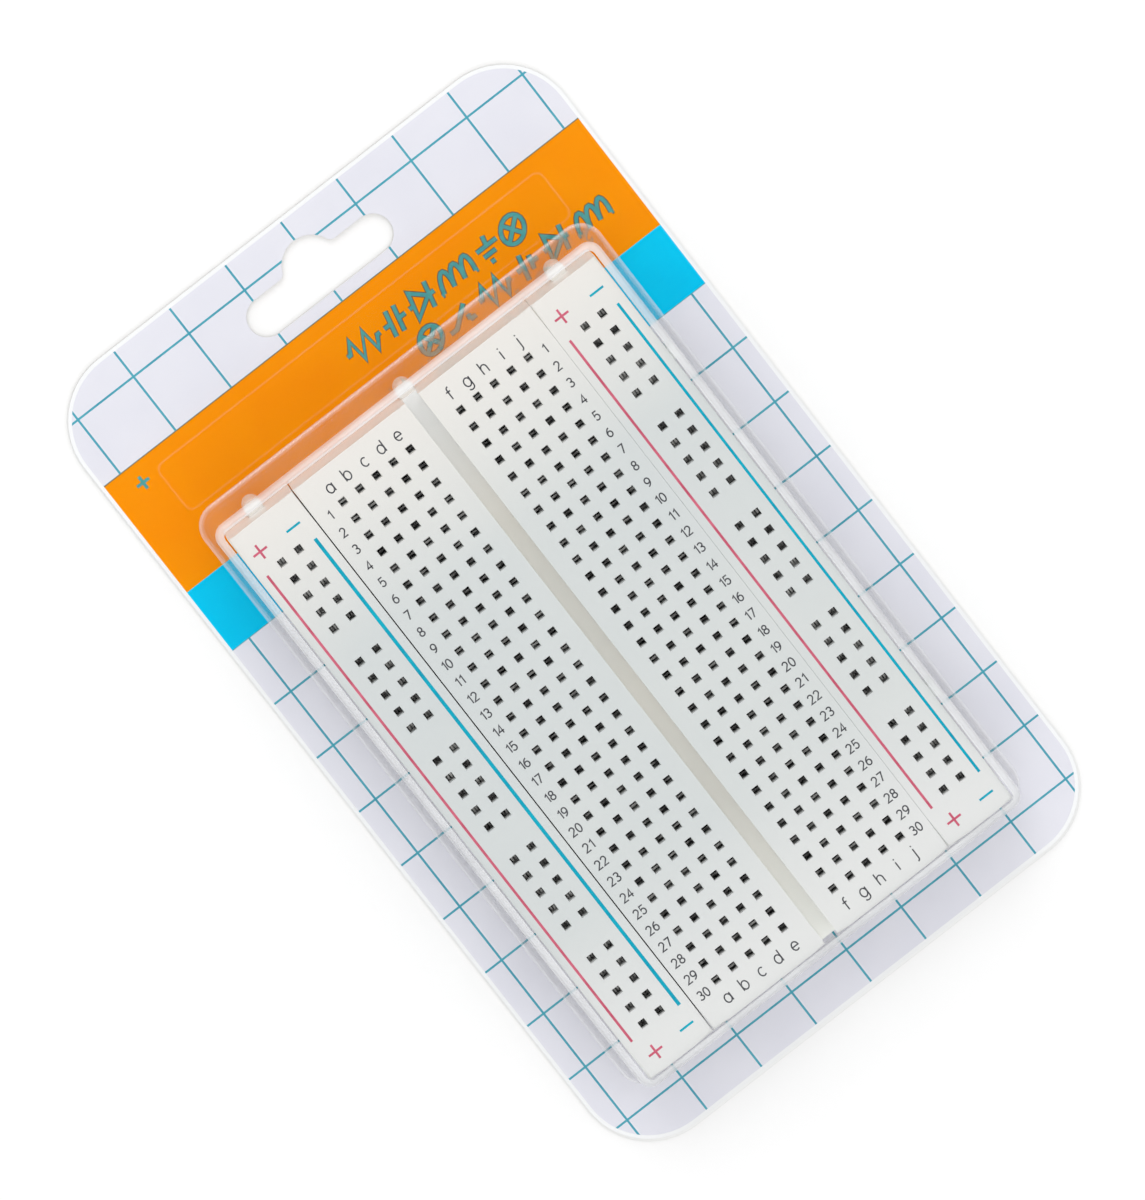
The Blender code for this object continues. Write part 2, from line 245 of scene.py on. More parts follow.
def surface(name, colours, roughness, grain, depth, cloud=6 * MM, stretch=None, specular=0.5, coat=0.0):
    """A surface that drifts between two colours, with a fine grain in its relief and its gloss."""
    material, tree, shader, place = start_material(name)
    clouds = noise_of(tree, place, cloud, stretch=stretch)
    specks = noise_of(tree, place, grain, detail=4.0, stretch=stretch)
    colour = mix_colours(tree, spread(tree, clouds), *colours)
    normal = relief(tree, clouds, depth * 4, 0.5, relief(tree, specks, depth))
    wire(tree, shader, colour, spread(tree, specks, *roughness), normal)
    shader.inputs["Specular IOR Level"].default_value = specular
    shader.inputs["Coat Weight"].default_value = coat
    return material


def moulded_plastic(name, painted_light_gain=(1.0, 1.0, 1.0)):
    """Warm white ABS, a little bluer towards the board's middle, with a fine spark-eroded finish; painted
    light makes it lighter towards both ends.
    """
    material, tree, shader, place = start_material(name)
    parts = tree.nodes.new("ShaderNodeSeparateXYZ")
    tree.links.new(place, parts.inputs["Vector"])
    clouds = noise_of(tree, place, 22 * MM, detail=2.0)

    # painted light: the gain brightens a copy of the plastic
    def lit(*colour):
        return tuple(min(part * share, 0.96) for part, share in zip(colour, painted_light_gain))

    middle = mix_colours(tree, spread(tree, clouds), lit(0.66, 0.69, 0.69), lit(0.70, 0.72, 0.71))
    # painted light: lighter and warmer towards the hang-hole end, and lighter towards row 30's end
    painted_light_near_title = spread(tree, parts.outputs["Y"], 0.0, 1.0, 14 * MM, 36 * MM)
    painted_light_far_end = spread(tree, parts.outputs["Y"], 0.0, 1.0, -28 * MM, -46 * MM)
    colour = mix_colours(tree, painted_light_near_title, middle, lit(0.885, 0.845, 0.80))
    colour = mix_colours(tree, painted_light_far_end, colour, lit(0.79, 0.79, 0.78))
    grain = noise_of(tree, place, 0.16 * MM, detail=5.0)
    normal = relief(tree, grain, 4 * MICRON, 0.7)
    normal = relief(tree, noise_of(tree, place, 7 * MM), 30 * MICRON, 0.6, normal)
    wire(tree, shader, colour, spread(tree, grain, 0.34, 0.5), normal)
    return material


def patchy_wall():
    """The tie points' walls that face the key light, with painted light in some places and painted shade in
    others.
    """
    material, tree, shader, place = start_material("lit_hole_wall")
    painted_light_patches = noise_of(tree, place, 2.6 * MM, detail=1.0)
    grain = noise_of(tree, place, 0.16 * MM, detail=5.0)
    share = spread(tree, painted_light_patches, 0.0, 1.0, 0.40, 0.50)
    colour = mix_colours(tree, share, (0.20, 0.20, 0.195), (0.95, 0.95, 0.93))
    wire(tree, shader, colour, spread(tree, grain, 0.4, 0.6), relief(tree, grain, 4 * MICRON, 0.7))
    return material


def stamped_metal():
    """Nickel-plated phosphor bronze, with the rolling's fine lines, and painted glints: patches of bright and
    dark metal.
    """
    material, tree, shader, place = start_material("stamped_clip_metal")
    lines = noise_of(tree, place, 0.05 * MM, detail=4.0, stretch=(9.0, 9.0, 1.0))
    # painted highlight and painted shade: patches of bright and dark metal, so that some clips glint in their
    # holes and others stay dark
    painted_glint_patches = noise_of(tree, place, 2.2 * MM, detail=2.0)
    share = spread(tree, painted_glint_patches, 0.0, 1.0, 0.42, 0.60)
    colour = mix_colours(tree, share, (0.22, 0.215, 0.21), (0.93, 0.92, 0.89))
    wire(tree, shader, colour, spread(tree, lines, 0.38, 0.56), relief(tree, lines, 3 * MICRON))
    shader.inputs["Metallic"].default_value = 0.85
    return material


def foam_material():
    """Closed-cell foam tape."""
    material, tree, shader, place = start_material("foam_tape")
    cells = tree.nodes.new("ShaderNodeTexVoronoi")
    cells.inputs["Scale"].default_value = 1 / (0.35 * MM)
    tree.links.new(place, cells.inputs["Vector"])
    size = cells.outputs["Distance"]
    colour = mix_colours(tree, spread(tree, size, 0.0, 1.0, 0.1, 0.8), (0.60, 0.56, 0.45), (0.78, 0.75, 0.66))
    wire(tree, shader, colour, spread(tree, size, 0.98, 0.8, 0.1, 0.8), relief(tree, size, 60 * MICRON))
    return material


def mix_shaders(tree, share, first, second):
    node = tree.nodes.new("ShaderNodeMixShader")
    for number, output in enumerate((share, first, second)):
        tree.links.new(output, node.inputs[number])
    return node.outputs["Shader"]


def clear_sheet_material(name, haze_and_painted_light, mirror_share):
    """Thin clear PVC: what is behind it shows through, and it mirrors more the more it turns away.

    haze_and_painted_light is the share of milky white in it, partly the plastic's own milkiness and partly
    painted light, and mirror_share how much it mirrors where it faces the eye.
    """
    material, tree, shader, place = start_material(name)
    tree.nodes.remove(shader)
    sharpness = 4.0  # of the mirroring's rise towards the grazing share
    grazing_share = 0.75
    waves = noise_of(tree, place, 9 * MM, detail=1.5)
    scuffs = noise_of(tree, place, 0.5 * MM, detail=6.0, stretch=(1.0, 7.0, 1.0))
    normal = relief(tree, waves, 130 * MICRON, 1.0)

    through = tree.nodes.new("ShaderNodeBsdfTransparent")
    through.inputs["Color"].default_value = (0.995, 0.998, 0.998, 1.0)
    mirror = tree.nodes.new("ShaderNodeBsdfGlossy")
    tree.links.new(spread(tree, scuffs, 0.03, 0.10), mirror.inputs["Roughness"])
    tree.links.new(normal, mirror.inputs["Normal"])
    facing = tree.nodes.new("ShaderNodeLayerWeight")
    facing.inputs["Blend"].default_value = 0.5
    tree.links.new(normal, facing.inputs["Normal"])
    power = tree.nodes.new("ShaderNodeMath")
    power.operation = "POWER"
    tree.links.new(facing.outputs["Facing"], power.inputs[0])
    power.inputs[1].default_value = sharpness
    share = spread(tree, power.outputs["Value"], mirror_share, grazing_share, 0.0, 1.0)
    gloss = mix_shaders(tree, share, through.outputs["BSDF"], mirror.outputs["BSDF"])

    # painted light: a share of milky white diffuse, partly the plastic's own milkiness, and a painted
    # highlight where the share is high
    white_haze_and_sheen = tree.nodes.new("ShaderNodeBsdfDiffuse")
    white_haze_and_sheen.inputs["Color"].default_value = (0.95, 0.96, 0.97, 1.0)
    mist = mix_shaders(tree, spread(tree, waves, haze_and_painted_light * 0.75, haze_and_painted_light * 1.25), gloss, white_haze_and_sheen.outputs["BSDF"])
    tree.links.new(mist, tree.nodes["Material Output"].inputs["Surface"])
    return material


def raised_ink(name, first, second, roughness, cloud=1 * MM, specular=0.5, depth=2 * MICRON):
    """Ink that stands on a face, between two colours."""
    return surface(name, (first, second), roughness, 0.1 * MM, depth, cloud, specular=specular)


def card_print(name, first, second, roughness=(0.42, 0.6), depth=2.5 * MICRON, cloud=9 * MM, specular=0.5):
    """Offset print in the card's face, between two colours."""
    return surface(name, (first, second), roughness, 0.12 * MM, depth, cloud, specular=specular)


PLASTIC = moulded_plastic("moulded_white_abs")
PAINTED_LIGHT_RAVINE = moulded_plastic("painted_light_ravine_abs", (1.30, 1.24, 1.19))  # painted light: a brighter copy of the plastic, standing in for the light that comes through the plastic here
# painted shade: dark plastic on the tie points' walls below their mouths, standing in for the shade deep in
# the holes
PAINTED_SHADE_WALL = surface(
    "painted_shade_hole_wall", ((0.16, 0.16, 0.155), (0.24, 0.24, 0.235)), (0.5, 0.7),
    0.2 * MM, 4 * MICRON, 1 * MM, specular=0.1,
)
PAINTED_LIGHT_WALL = patchy_wall()
METAL = stamped_metal()
FOAM = foam_material()
# Painted light in the sheet: the bends, the foot and the walls carry more milky white than the flat sheet,
# partly the formed plastic's own whitening and partly painted highlights on the bends and the foot and
# painted light on the walls beside the board.
CLEAR = clear_sheet_material("clear_sheet", 0.0006, 0.0015)
CLEAR_WALL = clear_sheet_material("clear_sheet_wall", 0.035, 0.008)
CLEAR_BEND = clear_sheet_material("clear_sheet_bend", 0.34, 0.07)
CLEAR_FOOT = clear_sheet_material("clear_sheet_foot", 0.15, 0.08)
CLEAR_STEP = clear_sheet_material("clear_sheet_step", 0.02, 0.008)
LINER = surface(
    "waxed_liner_paper", ((0.62, 0.47, 0.22), (0.74, 0.60, 0.33)), (0.35, 0.55),
    0.25 * MM, 12 * MICRON, cloud=1.5 * MM, stretch=(1.0, 6.0, 1.0), coat=0.3,
)
DARK_INK = raised_ink(
    "dark_ink", (0.05, 0.05, 0.06), (0.10, 0.10, 0.11), (0.4, 0.6), specular=0.2, depth=1.5 * MICRON,
)
RED_INK = raised_ink(
    "crimson_ink", (0.56, 0.085, 0.15), (0.70, 0.15, 0.23), (0.35, 0.5), 2 * MM, 0.2, 1.5 * MICRON,
)
BLUE_INK = raised_ink(
    "blue_ink", (0.0, 0.33, 0.48), (0.0, 0.44, 0.58), (0.35, 0.5), 2 * MM, 0.15, 1.5 * MICRON,
)
CARD_GROUND = card_print("card_ground", (0.805, 0.797, 0.872), (0.84, 0.83, 0.897))
CARD_ORANGE = card_print("card_orange", (0.98, 0.285, 0.0), (1.0, 0.32, 0.0), (0.38, 0.55), specular=0.03)
CARD_CYAN = card_print("card_cyan", (0.0, 0.565, 0.90), (0.0, 0.62, 0.95), (0.38, 0.55), specular=0.03)
GRID_INK = card_print("grid_ink", (0.03, 0.33, 0.45), (0.06, 0.40, 0.51), depth=2 * MICRON, cloud=3 * MM)
CARD_MARGIN = card_print("card_margin", (0.95, 0.95, 0.96), (0.97, 0.97, 0.98))
BAND_LINE_INK = card_print(
    "band_line_ink", (0.20, 0.12, 0.03), (0.27, 0.16, 0.04), depth=2 * MICRON, cloud=3 * MM,
)
CARD_STOCK = surface(
    "grey_card_stock", ((0.64, 0.63, 0.60), (0.70, 0.69, 0.66)), (0.75, 0.95),
    0.15 * MM, 10 * MICRON, cloud=0.45 * MM, stretch=(1.0, 2.0, 1.0),
)
TITLE_INK = raised_ink("title_teal_ink", (0.035, 0.29, 0.31), (0.07, 0.37, 0.36), (0.4, 0.55))
TITLE_EDGE_INK = raised_ink("title_dark_ink", (0.12, 0.07, 0.03), (0.20, 0.12, 0.05), (0.4, 0.55))

# The materials of the pieces that have several. A face's material is given by its place here.
MOULDING_LOOKS = [PLASTIC, PAINTED_SHADE_WALL, PAINTED_LIGHT_RAVINE, PAINTED_LIGHT_WALL]
CARD_LOOKS = [CARD_GROUND, CARD_ORANGE, CARD_CYAN, GRID_INK, CARD_STOCK, CARD_MARGIN, BAND_LINE_INK]
BLISTER_LOOKS = [CLEAR, CLEAR_WALL, CLEAR_BEND, CLEAR_STEP, CLEAR_FOOT]


# ------------ mesh helpers


def finish_piece(name, shape, materials, body=None, smooth=None, replaces=()):
    """Turns a bmesh into a piece. smooth is the angle in degrees under which edges are shaded smooth."""
    mesh = bpy.data.meshes.new(name)
    shape.to_mesh(mesh)
    shape.free()
    for material in materials:
        mesh.materials.append(material)
    thing = bpy.data.objects.new(name, mesh)
    bpy.context.scene.collection.objects.link(thing)
    if smooth is not None:
        shade(thing, smooth)
    if body is not None:
        declare(thing, body, replaces)
    return thing


def declare(thing, body, replaces=()):
    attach(thing, body)
    if replaces:
        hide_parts(*replaces)


def dress_nodes(prefix, material):
    """Gives the CAD nodes that stay their material."""
    for name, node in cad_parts.items():
        if name.startswith(prefix):
            node.material_slots[0].material = material


def shade(thing, angle):
    mesh = thing.data
    mesh.polygons.foreach_set("use_smooth", [True] * len(mesh.polygons))
    mesh.set_sharp_from_angle(angle=math.radians(angle))


def shade_rounding(thing, angle):
    """Shades smooth only the faces that lean, so that the large flat faces stay flat."""
    shade(thing, angle)
    mesh = thing.data
    flat = 0.9999  # the largest part of the normal of a face that doesn't lean
    leaning = [max(abs(part) for part in face.normal) < flat for face in mesh.polygons]
    mesh.polygons.foreach_set("use_smooth", leaning)


def keep_result(thing):
    """Replaces the mesh by what its modifiers make of it."""
    graph = bpy.context.evaluated_depsgraph_get()
    mesh = bpy.data.meshes.new_from_object(thing.evaluated_get(graph))
    thing.modifiers.clear()
    thing.data = mesh


def join_loops(shape, loops):
    """Joins loops of vertices, each of the same length, by quads, and returns the quads."""
    count = len(loops[0])
    quads = []
    for lower, upper in zip(loops, loops[1:]):
        for i in range(count):
            j = (i + 1) % count
            quads.append(shape.faces.new((lower[i], lower[j], upper[j], upper[i])))
    return quads


def prism(shape, outline, bottom, top):
    """An upright block over an outline."""
    lower, upper = [[shape.verts.new((x, y, z)) for x, y in outline] for z in (bottom, top)]
    join_loops(shape, [lower, upper])
    shape.faces.new(list(reversed(lower)))
    shape.faces.new(upper)


def arc(centre, radius, start, end, steps):
    """Points on an arc, with both ends, for angles in degrees. radius is one number or (rx, ry)."""
    rx, ry = radius if isinstance(radius, tuple) else (radius, radius)
    turns = [math.radians(start + (end - start) * i / steps) for i in range(steps + 1)]
    return [(centre[0] + rx * math.cos(turn), centre[1] + ry * math.sin(turn)) for turn in turns]


def rounded_rectangle(low, high, radius, steps=CORNER_STEPS):
    corners = (
        (high[0] - radius, high[1] - radius, 0),
        (low[0] + radius, high[1] - radius, 90),
        (low[0] + radius, low[1] + radius, 180),
        (high[0] - radius, low[1] + radius, 270),
    )
    return [point for x, y, turn in corners for point in arc((x, y), radius, turn, turn + 90, steps)]


def outline_edges(shape, outline, z):
    """The closed line round an outline, as vertices and edges."""
    loop = [shape.verts.new((x, y, z)) for x, y in outline]
    edges = [shape.edges.new((loop[i], loop[(i + 1) % len(loop)])) for i in range(len(loop))]
    return loop, edges


# ------------ mouldings


def row_y(row):
    return CENTRE.y + (ROWS + 1 - 2 * row) / 2 * PITCH


def bank_xs(side):
    centre = CENTRE.x + side * BANK_CENTRE
    return [centre + (i - (BANK_COLUMNS - 1) / 2) * PITCH for i in range(BANK_COLUMNS)]


def rail_xs(side):
    centre = CENTRE.x + side * RAIL_CENTRE
    return (centre - RAIL_COLUMN_OFFSET, centre + RAIL_COLUMN_OFFSET)


def rail_ys():
    groups = [(i - (RAIL_GROUPS - 1) / 2) * RAIL_GROUP_PITCH for i in range(RAIL_GROUPS)]
    steps = [(i - (GROUP_HOLES - 1) / 2) * PITCH for i in range(GROUP_HOLES)]
    return [CENTRE.y + group + step for group in groups for step in steps]


def grid_solid(xs, ys, zs, is_solid):
    """A closed solid made of the cells of a grid that is_solid(x, y, z) keeps, by their middles."""
    middles = [[(a + b) / 2 for a, b in zip(cuts, cuts[1:])] for cuts in (xs, ys, zs)]
    kept = {
        (i, j, k)
        for i, x in enumerate(middles[0])
        for j, y in enumerate(middles[1])
        for k, z in enumerate(middles[2])
        if is_solid(x, y, z)
    }
    shape = bmesh.new()
    made = {}

    def vertex(i, j, k):
        if (i, j, k) not in made:
            made[i, j, k] = shape.verts.new((xs[i], ys[j], zs[k]))
        return made[i, j, k]

    sides = (
        ((-1, 0, 0), ((0, 0, 0), (0, 0, 1), (0, 1, 1), (0, 1, 0))),
        ((1, 0, 0), ((1, 0, 0), (1, 1, 0), (1, 1, 1), (1, 0, 1))),
        ((0, -1, 0), ((0, 0, 0), (1, 0, 0), (1, 0, 1), (0, 0, 1))),
        ((0, 1, 0), ((0, 1, 0), (0, 1, 1), (1, 1, 1), (1, 1, 0))),
        ((0, 0, -1), ((0, 0, 0), (0, 1, 0), (1, 1, 0), (1, 0, 0))),
        ((0, 0, 1), ((0, 0, 1), (1, 0, 1), (1, 1, 1), (0, 1, 1))),
    )
    for i, j, k in sorted(kept):
        for (di, dj, dk), ring in sides:
            if (i + di, j + dj, k + dk) not in kept:
                shape.faces.new([vertex(i + a, j + b, k + c) for a, b, c in ring])
    return shape


def inside(value, spans):
    return any(low < value < high for low, high in spans)


def inside_or_on(value, spans):
    return any(low - MICRON < value < high + MICRON for low, high in spans)


def end_key(centre, y, spare):
    """A round-nosed tab that points along +Y from y, grown by spare."""
    half = KEY_WIDTH / 2 + spare
    nose = y + END_KEY_LENGTH + spare - half
    root = y - KEY_ROOT
    return [(centre - half, root), (centre + half, root)] + arc((centre, nose), half, 0, 180, KEY_STEPS)


def side_key(x, centre, spare):
    """A dovetail tab that points along +X from x, grown by spare."""
    neck = SIDE_KEY_NECK / 2 + spare
    head = KEY_WIDTH / 2 + spare
    tip = x + SIDE_KEY_LENGTH + spare
    root = x - KEY_ROOT
    return [(root, centre - neck), (tip, centre - head), (tip, centre + head), (root, centre + neck)]


def key_blocks(centre_x, end_y, side_x, spare, bottom, top):
    """An end key and two side keys, or the room that a neighbour's need when spare isn't 0."""
    shape = bmesh.new()
    prism(shape, end_key(centre_x, end_y, spare), bottom, top)
    for y in SIDE_KEY_PLACES:
        prism(shape, side_key(side_x, CENTRE.y + y, spare), bottom, top)
    return shape


def spans(places, half):
    return [(place - half, place + half) for place in places]


def flare_mouths(shape, hole_xs, hole_ys):
    """Moves the corners of the tie points' mouths outwards."""
    half = HOLE_WIDTH / 2
    at_column, at_row = [
        {round((place + side * half) / MICRON): side for place in places for side in (-1, 1)}
        for places in (hole_xs, hole_ys)
    ]
    for vertex in shape.verts:
        if abs(vertex.co.z - STRIP_TOP) < MICRON:
            out_x = at_column.get(round(vertex.co.x / MICRON))
            out_y = at_row.get(round(vertex.co.y / MICRON))
            if out_x and out_y:
                vertex.co.x += out_x * LEAD_IN
                vertex.co.y += out_y * LEAD_IN


def paint_moulding(shape, hole_x_spans, hole_y_spans, ravine):
    """Gives the tie points' walls and the ravine their own materials: painted shade on the walls, painted
    light on the walls that face the hang-hole end and in the ravine.
    """
    for face in shape.faces:
        middle = face.calc_center_median()
        in_hole = inside_or_on(middle.x, hole_x_spans) and inside_or_on(middle.y, hole_y_spans)
        if in_hole and CHAMBER_TOP < middle.z < STRIP_TOP - LEAD_IN_DEPTH:
            # painted light on the walls that face the hang-hole end, painted shade on the other walls
            faces_title_end = any(abs(middle.y - span[0]) < MICRON for span in hole_y_spans)
            face.material_index = MOULDING_LOOKS.index(PAINTED_LIGHT_WALL if faces_title_end else PAINTED_SHADE_WALL)
        if ravine is not None and inside_or_on(middle.x, [ravine]) and middle.z > RAVINE_FLOOR - MICRON:
            face.material_index = MOULDING_LOOKS.index(PAINTED_LIGHT_RAVINE)


def round_rim(shape, low, high):
    """Rounds the edges where two of a strip's top and its four sides meet."""

    def on_rim(edge):
        ends = [vertex.co for vertex in edge.verts]
        on_side = [
            all(abs(end[axis] - value) < MICRON for end in ends)
            for axis, value in ((0, low.x), (0, high.x), (1, low.y), (1, high.y))
        ]
        on_top = all(abs(end.z - STRIP_TOP) < MICRON for end in ends)
        return sum(on_side) + on_top >= 2

    rim = [edge for edge in shape.edges if on_rim(edge)]
    bmesh.ops.bevel(shape, geom=rim, offset=STRIP_EDGE, segments=3, profile=0.5, affect="EDGES")


def fit_keys(strip, centre_x, width, low, high):
    """Joins the keys to a strip's +X and +Y sides, and cuts the notches into the other two."""
    key_top = STRIP_BOTTOM + KEY_HEIGHT
    keys = key_blocks(centre_x, high.y, centre_x + width / 2, 0.0, STRIP_BOTTOM, key_top)
    tops = [edge for edge in keys.edges if all(abs(v.co.z - key_top) < MICRON for v in edge.verts)]
    bmesh.ops.bevel(keys, geom=tops, offset=KEY_EDGE, segments=3, profile=0.5, affect="EDGES")
    below = STRIP_BOTTOM - CUT_MARGIN
    notches = key_blocks(centre_x, low.y, low.x, KEY_CLEARANCE, below, key_top + KEY_CLEARANCE)
    for tool, operation in ((keys, "UNION"), (notches, "DIFFERENCE")):
        bmesh.ops.recalc_face_normals(tool, faces=tool.faces)
        other = finish_piece(f"{strip.name}_{operation.lower()}", tool, [PLASTIC])
        step = strip.modifiers.new(operation, "BOOLEAN")
        step.operation = operation
        step.solver = "EXACT"
        step.object = other
        keep_result(strip)
        bpy.data.objects.remove(other, do_unlink=True)


def moulding(
    name, body, node, centre_x, width, hole_xs, hole_ys, chamber_xs, chamber_ys, ravine=None, closing=0.0
):
    """A strip with its tie points, the clip chambers under them, and its keys and notches.

    closing widens the strip towards its seam: on its -X side, or on its +X side where it is negative.
    """
    low = Vector((centre_x - width / 2 - max(closing, 0.0), CENTRE.y - STRIP_LENGTH / 2))
    high = Vector((centre_x + width / 2 + max(-closing, 0.0), CENTRE.y + STRIP_LENGTH / 2))
    hole_x_spans = spans(hole_xs, HOLE_WIDTH / 2)
    hole_y_spans = spans(hole_ys, HOLE_WIDTH / 2)
    xs = {low.x, high.x, *(x for span in hole_x_spans + chamber_xs for x in span)}
    ys = {low.y, high.y, *(y for span in hole_y_spans + chamber_ys for y in span)}
    zs = {STRIP_BOTTOM, CHAMBER_TOP, STRIP_TOP - LEAD_IN_DEPTH, STRIP_TOP}
    if ravine is not None:
        xs |= set(ravine)
        zs.add(RAVINE_FLOOR)

    def is_solid(x, y, z):
        if ravine is not None and ravine[0] < x < ravine[1] and z > RAVINE_FLOOR:
            return False
        if z < CHAMBER_TOP:
            return not (inside(x, chamber_xs) and inside(y, chamber_ys))
        return not (inside(x, hole_x_spans) and inside(y, hole_y_spans))

    shape = grid_solid(sorted(xs), sorted(ys), sorted(zs), is_solid)
    flare_mouths(shape, hole_xs, hole_ys)
    paint_moulding(shape, hole_x_spans, hole_y_spans, ravine)
    round_rim(shape, low, high)
    strip = finish_piece(name, shape, MOULDING_LOOKS)
    fit_keys(strip, centre_x, width, low, high)
    shade_rounding(strip, angle=38)
    declare(strip, body, (node,))


def add_mouldings():
    reach = (BANK_COLUMNS - 1) / 2 * PITCH + CHAMBER_END
    half = CHAMBER_WIDTH / 2
    rows = [row_y(row) for row in range(1, ROWS + 1)]
    banks = [CENTRE.x + side * BANK_CENTRE for side in (-1, 1)]
    moulding(
        "terminal_moulding", "board", "terminal_strip", CENTRE.x, TERMINAL_WIDTH,
        [x for side in (-1, 1) for x in bank_xs(side)], rows,
        spans(banks, reach), spans(rows, half),
        ravine=(CENTRE.x - RAVINE_WIDTH / 2, CENTRE.x + RAVINE_WIDTH / 2),
    )
    ys = rail_ys()
    for side, label in ((-1, "left"), (1, "right")):
        moulding(
            f"{label}_rail_moulding", f"{label}_rail", f"power_rail_{label}",
            CENTRE.x + side * RAIL_CENTRE, RAIL_WIDTH, rail_xs(side), ys,
            spans(rail_xs(side), half), [(ys[0] - CHAMBER_END, ys[-1] + CHAMBER_END)],
            closing=SEAM_CLOSING[1] if side > 0 else -SEAM_CLOSING[0],
        )


# ------------ clips


def clip(name, centre, along, fingers, body, replaces=()):
    """A flat base with pairs of fingers that lean together over it. fingers are their places along it."""
    across = Vector((-along.y, along.x, 0.0))
    half = CLIP_WIDTH / 2
    tip = FINGER_SLIT / 2
    floor = CLIP_BOTTOM
    deck = CLIP_BOTTOM + CLIP_METAL
    inner = half - CLIP_METAL
    base_profile = ((-half, floor), (half, floor), (half, deck), (inner, deck), (-inner, deck), (-half, deck))
    tip_profile = [(offset, CLIP_TOP) for offset in (tip + CLIP_METAL, tip, -tip, -tip - CLIP_METAL)]
    shape = bmesh.new()

    def section(place, profile):
        start = centre + along * place
        return [shape.verts.new(start + across * offset + Vector((0, 0, z))) for offset, z in profile]

    sections = []
    for place in fingers:
        for end in (place - FINGER_LENGTH / 2, place + FINGER_LENGTH / 2):
            sections.append((section(end, base_profile), section(end, tip_profile)))
    for number, ((base, tips), (next_base, next_tips)) in enumerate(zip(sections, sections[1:])):
        for i in (0, 1, 3, 5):
            j = (i + 1) % len(base)
            shape.faces.new((base[i], base[j], next_base[j], next_base[i]))
        if number % 2:
            for i in (2, 4):
                shape.faces.new((base[i], base[i + 1], next_base[i + 1], next_base[i]))
            continue
        for i, k in ((2, 0), (4, 2)):
            shape.faces.new((base[i], tips[k], next_tips[k], next_base[i]))
            shape.faces.new((tips[k], tips[k + 1], next_tips[k + 1], next_tips[k]))
            shape.faces.new((tips[k + 1], base[i + 1], next_base[i + 1], next_tips[k + 1]))
            if number:
                shape.faces.new((base[i], base[i + 1], tips[k + 1], tips[k]))
            if number < len(sections) - 2:
                shape.faces.new((next_base[i], next_tips[k], next_tips[k + 1], next_base[i + 1]))
    for base, tips in (sections[0], sections[-1]):
        shape.faces.new((*base[0:3], *tips[0:2], *base[3:5], *tips[2:4], base[5]))
    bmesh.ops.recalc_face_normals(shape, faces=shape.faces)
    finish_piece(name, shape, [METAL], body, replaces=replaces)


def add_clips():
    steps = [(i - (BANK_COLUMNS - 1) / 2) * PITCH for i in range(BANK_COLUMNS)]
    for row in range(FIRST_ADDED_ROW, ROWS + 1):
        for side, letters in ((-1, "a_to_e"), (1, "f_to_j")):
            centre = Vector((CENTRE.x + side * BANK_CENTRE, row_y(row), 0.0))
            clip(f"clip_row_{row:02d}_{letters}", centre, Vector((1, 0, 0)), steps, "board")
    places = [y - CENTRE.y for y in rail_ys()]
    for side, rail in ((-1, "left"), (1, "right")):
        for x, pole in zip(rail_xs(side), ("plus", "minus")):
            centre = Vector((x, CENTRE.y, 0.0))
            replaced = (f"bus_clip_{rail}_{pole}",)
            clip(f"bus_strip_{rail}_{pole}", centre, Vector((0, 1, 0)), places, f"{rail}_rail", replaced)
    dress_nodes("clip_row_", METAL)


# ------------ printing


def ribbon(shape, points, width, top, material=0):
    """One stroke of ink along points, as a closed flat bar. It closes on itself if its ends meet."""
    bottom = top - (INK + INK_OVERLAP)
    spine = [Vector(point) for point in points]
    closed = (spine[0] - spine[-1]).length < width / 100
    if closed:
        spine.pop()
    count = len(spine)
    rings = []
    for i, here in enumerate(spine):
        ways = []
        if i or closed:
            ways.append((here - spine[i - 1]).normalized())
        if i + 1 < count or closed:
            ways.append((spine[(i + 1) % count] - here).normalized())
        way = sum(ways, Vector((0, 0))).normalized()
        left = Vector((-way.y, way.x))
        mitre = max(left.dot(Vector((-ways[0].y, ways[0].x))), 0.5)
        reach = left * (width / 2 / mitre)
        sides = (here - reach, here + reach)
        rings.append([
            shape.verts.new((*place, z))
            for place, z in ((sides[0], bottom), (sides[1], bottom), (sides[1], top), (sides[0], top))
        ])
    made = []
    for i in range(count if closed else count - 1):
        a, b = rings[i], rings[(i + 1) % count]
        made += [shape.faces.new((a[k], b[k], b[(k + 1) % 4], a[(k + 1) % 4])) for k in range(4)]
    if not closed:
        made += [shape.faces.new(rings[0]), shape.faces.new(list(reversed(rings[-1])))]
    for face in made:
        face.material_index = material


def loop(x, y, rx, ry):
    """A stroke round a whole ellipse."""
    return arc((x, y), (rx, ry), 0, 360, 18)


def bow(x, y, rx, ry, start, end):
    """A stroke along part of an ellipse, between two angles in degrees."""
    return arc((x, y), (rx, ry), start, end, max(3, round(abs(end - start) / 20)))


